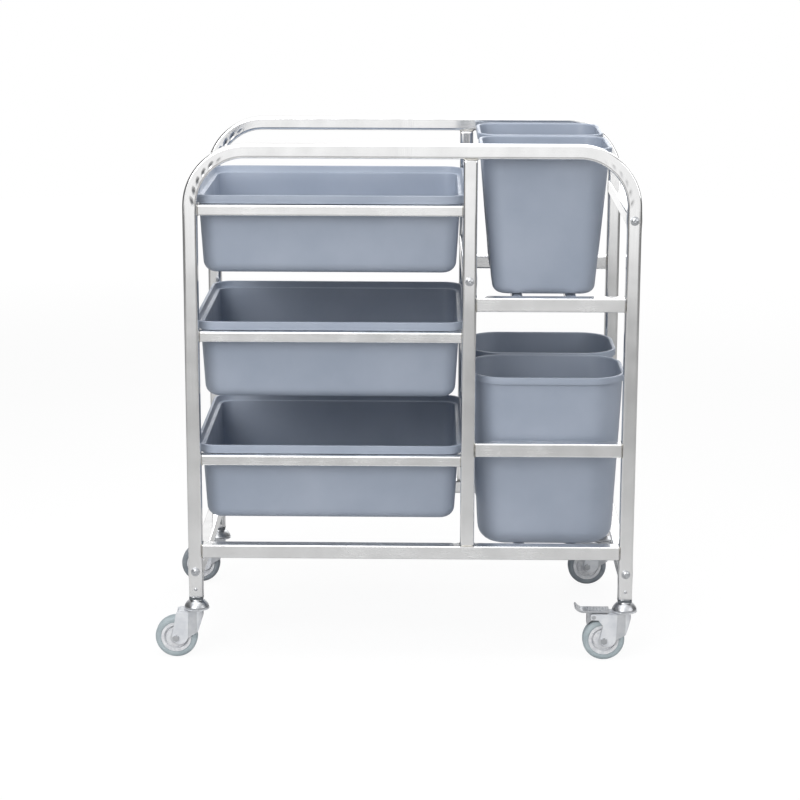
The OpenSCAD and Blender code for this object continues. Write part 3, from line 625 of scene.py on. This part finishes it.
# quarter round as (inward, upward) steps for an inset, from one tangent to the other
def quarterRound(radius, count, rising):
    steps = []
    for i in range(count):
        a, b = (math.pi / 2 * k / count for k in (i, i + 1))
        if rising:  # from a standing wall over to a flat top
            steps.append((radius * (math.cos(a) - math.cos(b)), radius * (math.sin(b) - math.sin(a))))
        else:  # from a flat top over into a wall
            steps.append((radius * (math.sin(b) - math.sin(a)), -radius * (math.cos(a) - math.cos(b))))
    return steps


# what all the mouldings share, in mm and degrees
mould = {
    "leastInset": 0.004, "hairInset": 0.001,  # the inset operator needs some width
    "rimSteps": 5, "ledgeSteps": 3, "floorSteps": 7, "wallRows": 6, "skirtRows": 2,
    "ledgeStart": (0.5, 0.6), "ledgeFall": 0.3, "ledgeRound": 1.5, "floorSlope": 1.5, "floorRim": 1,
    "bowFade": (50, 40), "sideShare": 0.8, "edge": 0.6, "edgeSteps": 2, "edgeLimit": 50,
}


def insetSteps(bm, face, steps):
    for inward, upward in steps:
        bmesh.ops.inset_region(bm, faces=[face], thickness=max(inward, mould["leastInset"]) * mm,
                               depth=upward * mm, use_even_offset=True, use_boundary=True)


# moulded skin from the rim down to the floor, made thick by a solidify
def makeMoulding(node, name, body, s):
    m = mould
    lo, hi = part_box(node)
    width, depth, top = hi.x - lo.x, hi.y - lo.y, hi.z
    middle = Vector(((lo.x + hi.x) / 2, (lo.y + hi.y) / 2, 0))
    bm = bmesh.new()
    face = roundFace(bm, width, depth, s["rimCorner"] * mm, s["cornerSteps"], s["sideCuts"])
    bmesh.ops.translate(bm, vec=middle + Vector((0, 0, top - s["rimRound"] * mm)), verts=bm.verts)
    outer = list(face.edges)
    insetSteps(bm, face, quarterRound(s["rimRound"], m["rimSteps"], True))
    insetSteps(bm, face, [(s["rimFlat"], 0)])
    insetSteps(bm, face, quarterRound(s["lipRound"], m["rimSteps"], False))
    wallTop = top / mm - s["lipRound"]
    if s["ledge"]:  # stacking step: a short sloped band, a soft ledge, then the wall
        startIn, startDown = m["ledgeStart"]
        ledgeIn = s["ledge"] - startIn - m["ledgeRound"]
        insetSteps(bm, face, [(s["bandLean"] / 2, -s["bandDrop"] / 2)] * 2)
        insetSteps(bm, face, [(startIn, -startDown), (ledgeIn, -m["ledgeFall"])])
        insetSteps(bm, face, quarterRound(m["ledgeRound"], m["ledgeSteps"], False))
        wallTop -= s["bandDrop"] + startDown + m["ledgeFall"] + m["ledgeRound"]
    floorZ = lo.z / mm + s["wall"]
    rowDrop = (wallTop - floorZ - s["floorRound"]) / m["wallRows"]
    lean = 2 * rowDrop * math.tan(math.radians(s["draft"])) * mm
    for _ in range(m["wallRows"]):  # drafted wall, in rows so that it can take a little bow
        bmesh.ops.inset_region(bm, faces=[face], thickness=m["hairInset"] * mm, depth=-rowDrop * mm,
                               use_even_offset=True, use_boundary=True)
        size = [max(v.co[i] for v in face.verts) - min(v.co[i] for v in face.verts) for i in (0, 1)]
        bmesh.ops.scale(bm, vec=(1 - lean / size[0], 1 - lean / size[1], 1),
                        space=Matrix.Translation(-middle), verts=face.verts)
    floorTurn = quarterRound(s["floorRound"], m["floorSteps"], True)
    insetSteps(bm, face, [(inward, -upward) for inward, upward in floorTurn])
    insetSteps(bm, face, [(s["floorStep"], 0), (m["floorSlope"], s["floorRise"]), (m["floorRim"], 0)])
    skirtStep = (s["skirt"] - s["rimRound"]) / m["skirtRows"]
    carryRing(bm, outer, Vector((0, 0, -skirtStep * mm)), m["skirtRows"])
    bmesh.ops.recalc_face_normals(bm, faces=bm.faces)
    up = max(bm.faces, key=lambda f: f.calc_area())
    if up.normal.z < 0:
        bmesh.ops.reverse_faces(bm, faces=bm.faces)
    for v in bm.verts:  # long walls stand a touch proud in the middle, as cooled mouldings do
        below = fade(wallTop * mm - v.co.z, 0.0, m["bowFade"][0] * mm)
        below *= fade(v.co.z - lo.z, 0.0, m["bowFade"][1] * mm)
        fx, fy = ((v.co[i] - middle[i]) / (span / 2) for i, span in ((0, width), (1, depth)))
        if abs(fy) > m["sideShare"]:
            v.co.y += math.copysign(s["bow"] * mm * below * (1 - min(1, abs(fx)) ** 2), fy)
        if abs(fx) > m["sideShare"]:
            v.co.x += math.copysign(s["bow"] * mm * below * (1 - min(1, abs(fy)) ** 2), fx)
    piece = finishPiece(bm, name, tubPlastic, body, [node], sharp=50)
    addWall(piece, "wall", s["wall"], even=True)
    edge = piece.modifiers.new("edge", "BEVEL")
    edge.width = m["edge"] * mm
    edge.segments = m["edgeSteps"]
    edge.limit_method = "ANGLE"
    edge.angle_limit = math.radians(m["edgeLimit"])


# Tubs: slim turned-down rim, stacking step inside, shallow drafted sides, round floor edge
tubShape = {
    "rimCorner": 40, "cornerSteps": 12, "sideCuts": 14, "rimRound": 2.6, "rimFlat": 0.8, "lipRound": 2.4,
    "bandLean": 2.8, "bandDrop": 8.5, "ledge": 6.4, "skirt": 15.5, "draft": 3.3, "wall": 3,
    "floorRound": 17, "floorStep": 3, "floorRise": 0.8, "bow": 0.5,
}
for level in ("upper", "middle", "lower"):
    makeMoulding(level + "_tub", level + "Tub", level + "_tub", tubShape)
print("tubs moulded")

# Bins: narrow rolled rim, deep sides, the lower pair rounder
upperBin = {
    "rimCorner": 42, "cornerSteps": 12, "sideCuts": 8, "rimRound": 3, "rimFlat": 1, "lipRound": 3, "ledge": 0,
    "skirt": 13, "draft": 4.8, "wall": 3, "floorRound": 13, "floorStep": 5, "floorRise": 0.8, "bow": 0.8,
}
lowerBin = {
    "rimCorner": 64, "cornerSteps": 14, "sideCuts": 8, "rimRound": 3, "rimFlat": 1, "lipRound": 3, "ledge": 0,
    "skirt": 13, "draft": 2.8, "wall": 3, "floorRound": 27, "floorStep": 5, "floorRise": 0.8, "bow": 0.8,
}
for side in ("front", "rear"):
    makeMoulding(side + "_upper_bin", side + "UpperBin", side + "_upper_bin", upperBin)
    makeMoulding(side + "_lower_bin", side + "LowerBin", side + "_lower_bin", lowerBin)
print("bins moulded")


# Castors: swivel stem, pressed fork, axle bolt, tyre and wheel centre at each corner;
# lengths in mm, turns in degrees, strap points as (x, z) from the foot of the swivel axis
castor = {
    "trail": 37, "wheelRadius": 38, "fitGap": 0.1,
    "pinHead": 9, "pinHeadLow": 82.7, "pinHeadTop": 85.7, "pinRadius": 6,
    "raceRadius": 22, "raceLow": 93, "raceEdge": 2,
    "bellHeight": 11.5, "bellPower": 1.5, "bellTurn": 9, "bellPoints": 10,
    "neckRadius": 12, "collarTop": 109, "studRadius": 5, "studTop": 139, "stemEdge": 0.4,
    "forkSide": 16, "forkEdge": 0.7, "forkEdgeSteps": 3, "cheekFacing": 0.95,
    "strap": ((-36, 86.8), (-13.5, 86.8), (-15.5, 31), (-33, 24), (-45, 36)),
    "brakedStrap": ((-61, 86.8), (-13.5, 86.8), (-15.5, 31), (-33, 24), (-45, 36),
                    (-39, 66), (-48, 77), (-61, 77)),
    "strapRound": 9, "strapRoundSteps": 6, "strapRise": 1.2, "strapSunk": 0.3,
    "strapEdge": 0.35, "strapEdgeTurn": 57.3,
    "boltHead": 12.8, "headHeight": 5, "nutHeight": 5, "headEdge": 0.6,
    "axleRadius": 4, "tail": 1.5, "tailChamfer": 0.6, "shankIn": 2, "axleSteps": 32,
    "wheelWidth": 24, "tyreInner": 25.5, "shoulder": 6, "shoulderTurn": 15, "crown": (0.1, 1),
    "tyreStep": ((1.4, 0), (0.5, 0.6), (0.3, 1.3)), "tyreSteps": 96,
    "boss": 10, "bossHalf": 13.3, "bossRound": 1, "bossFoot": ((0.5, 0.9), (1.8, 0.2)),
    "webHalf": 9.6, "webDish": ((17.6, 0), (18.5, -0.5), (19, -2.6), (20, -3.2), (21, -2.8)),
    "ringInner": 21.6, "ringOuter": 27.5, "ringHalf": 11.7, "ringRound": 0.8,
    "ringLip": (0.5, 0.4), "ringStep": 0.85, "centreSteps": 72,
}


# point on the floor under a castor's swivel axis
def footOf(corner):
    lo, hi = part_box(corner + "_stem")
    return Vector(((lo.x + hi.x) / 2, (lo.y + hi.y) / 2, 0))


def makeCastor(corner):
    s = castor
    foot = footOf(corner)
    hub = foot + Vector((-s["trail"], 0, s["wheelRadius"])) * mm
    axleWay = (0, -1, 0)
    end, hand = corner.split("_")
    camel = end + hand.capitalize()

    # stem: swivel pin with its head, bell-shaped race cap, neck and stud
    bm = bmesh.new()
    neck, raceLow = s["neckRadius"], s["raceLow"]
    flare, power = s["raceRadius"] - neck, s["bellPower"]
    bellLow = raceLow + s["raceEdge"]
    bell = [(neck + flare * math.cos(a) ** power, bellLow + s["bellHeight"] * math.sin(a) ** power)
            for a in (math.radians(s["bellTurn"] * i) for i in range(s["bellPoints"]))]
    outline = [(0, s["pinHeadLow"]), (s["pinHead"], s["pinHeadLow"]), (s["pinHead"], s["pinHeadTop"]),
               (s["pinRadius"], s["pinHeadTop"]), (s["pinRadius"], raceLow), (s["raceRadius"], raceLow)]
    outline += bell + [(neck, s["collarTop"]), (s["studRadius"], s["collarTop"]),
                       (s["studRadius"], s["studTop"]), (0, s["studTop"])]
    turnOutline(bm, outline, foot, (0, 0, 1))
    softenEdges(bm, s["stemEdge"] * mm)
    finishPiece(bm, camel + "Stem", zincBright, "frame", [corner + "_stem"])

    # fork: the pressed shape with its edges rolled off, and a flat strap raised on each cheek; the flat
    # cheeks take a darker zinc, painted shade round the strap
    bm = copyOf(corner + "_fork")
    softenEdges(bm, s["forkEdge"] * mm, s["forkEdgeSteps"])
    # faces that look along the axle take the darker zinc: painted shade round the strap
    for face in bm.faces:
        face.material_index = 1 if abs(face.normal.y) > s["cheekFacing"] else 0
    outline = s["brakedStrap"] if hand == "right" else s["strap"]
    for way in (-1, 1):
        start = foot + Vector((0, way * (s["forkSide"] - s["strapSunk"]) * mm, 0))
        ring = [bm.verts.new(start + Vector((x, 0, z)) * mm) for x, z in outline]
        bm.faces.new(ring)
        known = set(bm.verts) - set(ring)
        bmesh.ops.bevel(bm, geom=ring[2:5], offset=s["strapRound"] * mm, segments=s["strapRoundSteps"],
                        profile=0.5, affect="VERTICES", material=-1, clamp_overlap=True)
        face = next(f for v in bm.verts if v not in known for f in v.link_faces)
        grown = bmesh.ops.extrude_face_region(bm, geom=[face])["geom"]
        strapThick = s["strapRise"] + s["strapSunk"]
        bmesh.ops.translate(bm, vec=(0, way * strapThick * mm, 0), verts=vertsIn(grown))
        mine = [f for f in bm.faces if any(v not in known for v in f.verts)]
        bmesh.ops.recalc_face_normals(bm, faces=mine)
        limit = math.radians(s["strapEdgeTurn"])
        rims = dict.fromkeys(e for f in mine for e in f.edges if e.calc_face_angle(0) > limit)
        bmesh.ops.bevel(bm, geom=list(rims), offset=s["strapEdge"] * mm, segments=2, profile=0.5,
                        affect="EDGES", material=-1)
    fork = finishPiece(bm, camel + "Fork", zincSatin, corner + "_swivel",
                       [corner + "_fork"], flats=True)
    fork.data.materials.append(zincCheekShade)

    # axle bolt: shank, hexagon head in front, nut behind
    bm = bmesh.new()
    side = s["forkSide"]
    for low, high in ((side, side + s["headHeight"]), (-side - s["nutHeight"], -side)):
        made = bmesh.ops.create_circle(bm, cap_ends=True, segments=6, radius=s["boltHead"] / 2 * mm)
        face = made["verts"][0].link_faces[0]
        grown = bmesh.ops.extrude_face_region(bm, geom=[face])["geom"]
        bmesh.ops.translate(bm, vec=(0, 0, (high - low) * mm), verts=vertsIn(grown))
        raised = [v for g in grown if isinstance(g, bmesh.types.BMFace) for v in g.verts]
        whole = list(dict.fromkeys(list(made["verts"]) + raised))
        layDown = Matrix.Rotation(math.pi / 2, 4, "X") @ Matrix.Translation((0, 0, low * mm))
        bmesh.ops.transform(bm, matrix=Matrix.Translation(hub) @ layDown, verts=whole)
    bmesh.ops.recalc_face_normals(bm, faces=bm.faces)
    softenEdges(bm, s["headEdge"] * mm)
    r, chamfer = s["axleRadius"], s["tailChamfer"]
    tail, shankEnd = -side - s["nutHeight"] - s["tail"], side + s["shankIn"]
    shank = [(0, tail), (r - chamfer, tail), (r, tail + chamfer), (r, shankEnd), (0, shankEnd)]
    turnOutline(bm, shank, hub, axleWay, s["axleSteps"])
    finishPiece(bm, camel + "Axle", zincBright, corner + "_swivel",
                [corner + "_axle"], flats=True)

    # tyre: crowned tread, round shoulders, a moulded step beside the wheel centre
    bm = bmesh.new()
    half, r, inner, shoulder = s["wheelWidth"] / 2, s["wheelRadius"], s["tyreInner"], s["shoulder"]
    ringIn, ringOut, ringHalf = s["ringInner"], s["ringOuter"], s["ringHalf"]
    turn = [(r - shoulder + shoulder * math.cos(a), half - shoulder + shoulder * math.sin(a))
            for a in (math.radians(d) for d in range(0, 91, s["shoulderTurn"]))]
    right = [(r, 0), (r - s["crown"][0], half - shoulder - s["crown"][1])] + turn
    right += [(ringOut + out, half - down) for out, down in s["tyreStep"]]
    right.append((inner, half - s["tyreStep"][-1][1]))
    left = [(radius, -h) for radius, h in reversed(right[1:])]
    turnOutline(bm, right + left, hub, axleWay, s["tyreSteps"], closed=True)
    finishPiece(bm, camel + "Tyre", treads[end], corner + "_wheel",
                [corner + "_tyre"], sharp=42)

    # wheel centre: boss, dished web with a bead, and the ring that the tyre is moulded on
    bm = bmesh.new()
    boss, bossHalf, bossRound, web = s["boss"], s["bossHalf"], s["bossRound"], s["webHalf"]
    ringRound, stepHalf = s["ringRound"], ringHalf - s["ringStep"]
    lipIn, lipDown = s["ringLip"]
    face = [(s["axleRadius"] + s["fitGap"], bossHalf), (boss - bossRound, bossHalf),
            (boss, bossHalf - bossRound)]
    face += [(boss + out, web + rise) for out, rise in s["bossFoot"]]
    face += [(radius, web + rise) for radius, rise in s["webDish"]]
    face += [(ringIn, ringHalf - ringRound), (ringIn + ringRound, ringHalf), (ringOut - lipIn, ringHalf),
             (ringOut, ringHalf - lipDown), (ringOut, stepHalf), (inner - s["fitGap"], stepHalf)]
    outline = face + [(radius, -h) for radius, h in reversed(face)]
    turnOutline(bm, outline, hub, axleWay, s["centreSteps"], closed=True)
    finishPiece(bm, camel + "WheelCentre", wheelNylon, corner + "_wheel",
                [corner + "_wheel_centre"])
    return camel


# Brake pedal: pressed tread plate with raised bars, brake shoe below
pedal = {
    "bars": 7, "barPitch": 5.4, "barWidth": 1.6, "barHeight": 0.9, "barEdge": 0.5, "length": 22, "start": 33,
    "plateTop": 93.7, "edge": 0.5, "pinEdge": 0.4,
}


def makeBrake(corner, camel):
    s = pedal
    foot = footOf(corner)
    bm = copyOf(corner + "_brake_pedal")
    softenEdges(bm, s["edge"] * mm)
    for i in range(s["bars"]):
        x = foot.x - (s["start"] + i * s["barPitch"]) * mm
        made = bmesh.ops.create_cube(bm, size=1.0)["verts"]
        bmesh.ops.scale(bm, vec=(s["barWidth"] * mm, s["length"] * mm, 2 * s["barHeight"] * mm), verts=made)
        rims = edgesAt(made)
        bmesh.ops.translate(bm, vec=(x, foot.y, s["plateTop"] * mm), verts=made)
        bmesh.ops.bevel(bm, geom=rims, offset=s["barEdge"] * mm, segments=2, profile=0.5,
                        affect="EDGES", material=-1)
    finishPiece(bm, camel + "BrakePedal", zincDull, corner + "_pedal",
                [corner + "_brake_pedal"], flats=True)
    bm = copyOf(corner + "_brake_pin")
    softenEdges(bm, s["pinEdge"] * mm)
    finishPiece(bm, camel + "BrakePin", zincDull, corner + "_swivel", [corner + "_brake_pin"])


for corner in ("front_left", "front_right", "rear_left", "rear_right"):
    camel = makeCastor(corner)
    if corner.endswith("right"):
        makeBrake(corner, camel)
print("castors and brakes made")


# Studio: pale floor that shows white to the camera and keeps a soft shadow, and a white surround
# with grey flags at both sides; lengths in metres
studio = {
    "floorRadius": 6.0, "floorSides": 96, "floorShow": 0.86, "nearGlow": 1.07, "farGlow": 1.18,
    "floorTones": ((0.0, "#D2D2D2"), (0.45, "#BEBEBE"), (1.0, "#AEAEAE")), "toneReach": (0.7, 2.2),
    "nearFloor": 2.4, "farFloor": 5.6, "strip": (0.9, 1.7),
    "surround": 1.0, "ambient": 0.58, "sideLevel": 0.14, "flagFrom": (0.45, 0.8),
    "white": (1, 1, 1, 1), "aim": (0.02, 0, 0.5),
}
floorMat = newMaterial("paleFloor")
path = addNode(floorMat, "ShaderNodeLightPath")
place = addNode(floorMat, "ShaderNodeTexCoord").outputs["Object"]
reach = addNode(floorMat, "ShaderNodeVectorMath", {0: place}, operation="LENGTH")
far = addNode(floorMat, "ShaderNodeMapRange", {
    "Value": reach.outputs["Value"], "From Min": studio["nearFloor"], "From Max": studio["farFloor"]},
    interpolation_type="SMOOTHSTEP")
aside = addNode(floorMat, "ShaderNodeMath", {
    0: addNode(floorMat, "ShaderNodeSeparateXYZ", {0: place}).outputs["X"]}, operation="ABSOLUTE")
strip = addNode(floorMat, "ShaderNodeMapRange", {  # white only straight ahead, so the tubes keep grey edges
    "Value": aside.outputs[0], "From Min": studio["strip"][0], "From Max": studio["strip"][1],
    "To Min": 1.0, "To Max": 0.0}, interpolation_type="SMOOTHSTEP")
mirrored = addNode(floorMat, "ShaderNodeMath", {
    0: far.outputs[0], 1: path.outputs["Is Glossy Ray"]}, operation="MULTIPLY")
mirrored = addNode(floorMat, "ShaderNodeMath", {
    0: mirrored.outputs[0], 1: strip.outputs[0]}, operation="MULTIPLY")
seen = addNode(floorMat, "ShaderNodeMath", {
    0: path.outputs["Is Camera Ray"], 1: path.outputs["Is Transmission Ray"]}, operation="MAXIMUM")
seen = addNode(floorMat, "ShaderNodeMath", {0: seen.outputs[0], 1: mirrored.outputs[0]}, operation="MAXIMUM")
share = addNode(floorMat, "ShaderNodeMath", {
    0: seen.outputs[0], 1: studio["floorShow"]}, operation="MULTIPLY")
graded = addNode(floorMat, "ShaderNodeMapRange", {
    "Value": reach.outputs["Value"],
    "From Min": studio["toneReach"][0], "From Max": studio["toneReach"][1]})
tone = addNode(floorMat, "ShaderNodeValToRGB", {"Fac": graded.outputs[0]})
tone.color_ramp.elements.new(studio["floorTones"][1][0])
for stop, (position, hexText) in zip(tone.color_ramp.elements, studio["floorTones"]):
    stop.position = position
    stop.color = linear(hexText)
plain = addNode(floorMat, "ShaderNodeBsdfDiffuse", {"Color": tone.outputs[0]})
strength = addNode(floorMat, "ShaderNodeMapRange", {
    "Value": far.outputs[0], "To Min": studio["nearGlow"], "To Max": studio["farGlow"]})
glow = addNode(floorMat, "ShaderNodeEmission", {"Color": studio["white"], "Strength": strength.outputs[0]})
endMaterial(floorMat, addNode(floorMat, "ShaderNodeMixShader", {
    0: share.outputs[0], 1: plain.outputs[0], 2: glow.outputs[0]}))
bm = bmesh.new()
bmesh.ops.create_circle(bm, cap_ends=True, segments=studio["floorSides"], radius=studio["floorRadius"])
floorMesh = bpy.data.meshes.new("floor")
bm.to_mesh(floorMesh)
bm.free()
floorMesh.materials.append(floorMat)
floor = bpy.data.objects.new("floor", floorMesh)
bpy.context.scene.collection.objects.link(floor)

world = bpy.data.worlds.new("studioSurround")
bpy.context.scene.world = world
world.use_nodes = True
world.node_tree.nodes.clear()
path = addNode(world, "ShaderNodeLightPath")
way = addNode(world, "ShaderNodeSeparateXYZ", {0: addNode(world, "ShaderNodeTexCoord").outputs["Generated"]})
aside = addNode(world, "ShaderNodeMath", {0: way.outputs["X"]}, operation="ABSOLUTE")
flags = addNode(world, "ShaderNodeMapRange", {  # the flags give the tubes their dark edges
    "Value": aside.outputs[0], "From Min": studio["flagFrom"][0], "From Max": studio["flagFrom"][1],
    "To Min": 1.0, "To Max": studio["sideLevel"]}, interpolation_type="SMOOTHSTEP")
shown = addNode(world, "ShaderNodeMath", {
    0: path.outputs["Is Glossy Ray"], 1: path.outputs["Is Transmission Ray"]}, operation="MAXIMUM")
level = addNode(world, "ShaderNodeMapRange", {
    "Value": shown.outputs[0], "To Min": studio["ambient"], "To Max": studio["surround"]})
level = addNode(world, "ShaderNodeMath", {0: level.outputs[0], 1: flags.outputs[0]}, operation="MULTIPLY")
level = addNode(world, "ShaderNodeMath", {
    0: level.outputs[0], 1: path.outputs["Is Camera Ray"]}, operation="MAXIMUM")
sky = addNode(world, "ShaderNodeBackground", {"Color": studio["white"], "Strength": level.outputs[0]})
addNode(world, "ShaderNodeOutputWorld", {"Surface": sky.outputs[0]})

lamps = {
    "topBox": {"place": (-0.3, -0.4, 3.0), "size": 2.6, "power": 42},
    "frontBox": {"place": (-1.5, -3.2, 2.2), "size": 2.2, "power": 62},
    "rightFill": {"place": (3.0, -1.4, 1.8), "size": 2.0, "power": 26},
    "rearFill": {"place": (0.8, 3.2, 1.9), "size": 2.2, "power": 28},
}
for name, s in lamps.items():
    data = bpy.data.lights.new(name, "AREA")
    data.shape = "SQUARE"
    data.size = s["size"]
    data.energy = s["power"]
    lamp = bpy.data.objects.new(name, data)
    lamp.location = s["place"]
    lamp.rotation_euler = (Vector(studio["aim"]) - Vector(s["place"])).to_track_quat("-Z", "Y").to_euler()
    bpy.context.scene.collection.objects.link(lamp)

# camera at the photographed angle, from a fit to the legs, rails and wheels; place in mm, turns in degrees
cameraFit = {
    "place": (57.0, -4210.5, 1393.0), "yaw": 0.73, "pitch": 12.92, "roll": -0.17,
    "focalPixels": 2302, "image": 800, "sensor": 36, "clipEnd": 50,
}
yaw, pitch, roll = (math.radians(cameraFit[k]) for k in ("yaw", "pitch", "roll"))
ahead = Vector((-math.sin(yaw) * math.cos(pitch), math.cos(yaw) * math.cos(pitch), -math.sin(pitch)))
right = Vector((math.cos(yaw), math.sin(yaw), 0))
down = ahead.cross(right)
right, down = (math.cos(roll) * right + math.sin(roll) * down,
               -math.sin(roll) * right + math.cos(roll) * down)
turn = Matrix((right, -down, -ahead)).transposed()
camData = bpy.data.cameras.new("camera")
camData.sensor_width = cameraFit["sensor"]
camData.lens = cameraFit["focalPixels"] / cameraFit["image"] * camData.sensor_width
camData.clip_end = cameraFit["clipEnd"]
camera = bpy.data.objects.new("camera", camData)
camera.matrix_world = Matrix.Translation(Vector(cameraFit["place"]) * mm) @ turn.to_4x4()
bpy.context.scene.collection.objects.link(camera)
bpy.context.scene.camera = camera
bpy.context.scene.view_settings.view_transform = "Standard"
print("studio and camera set")
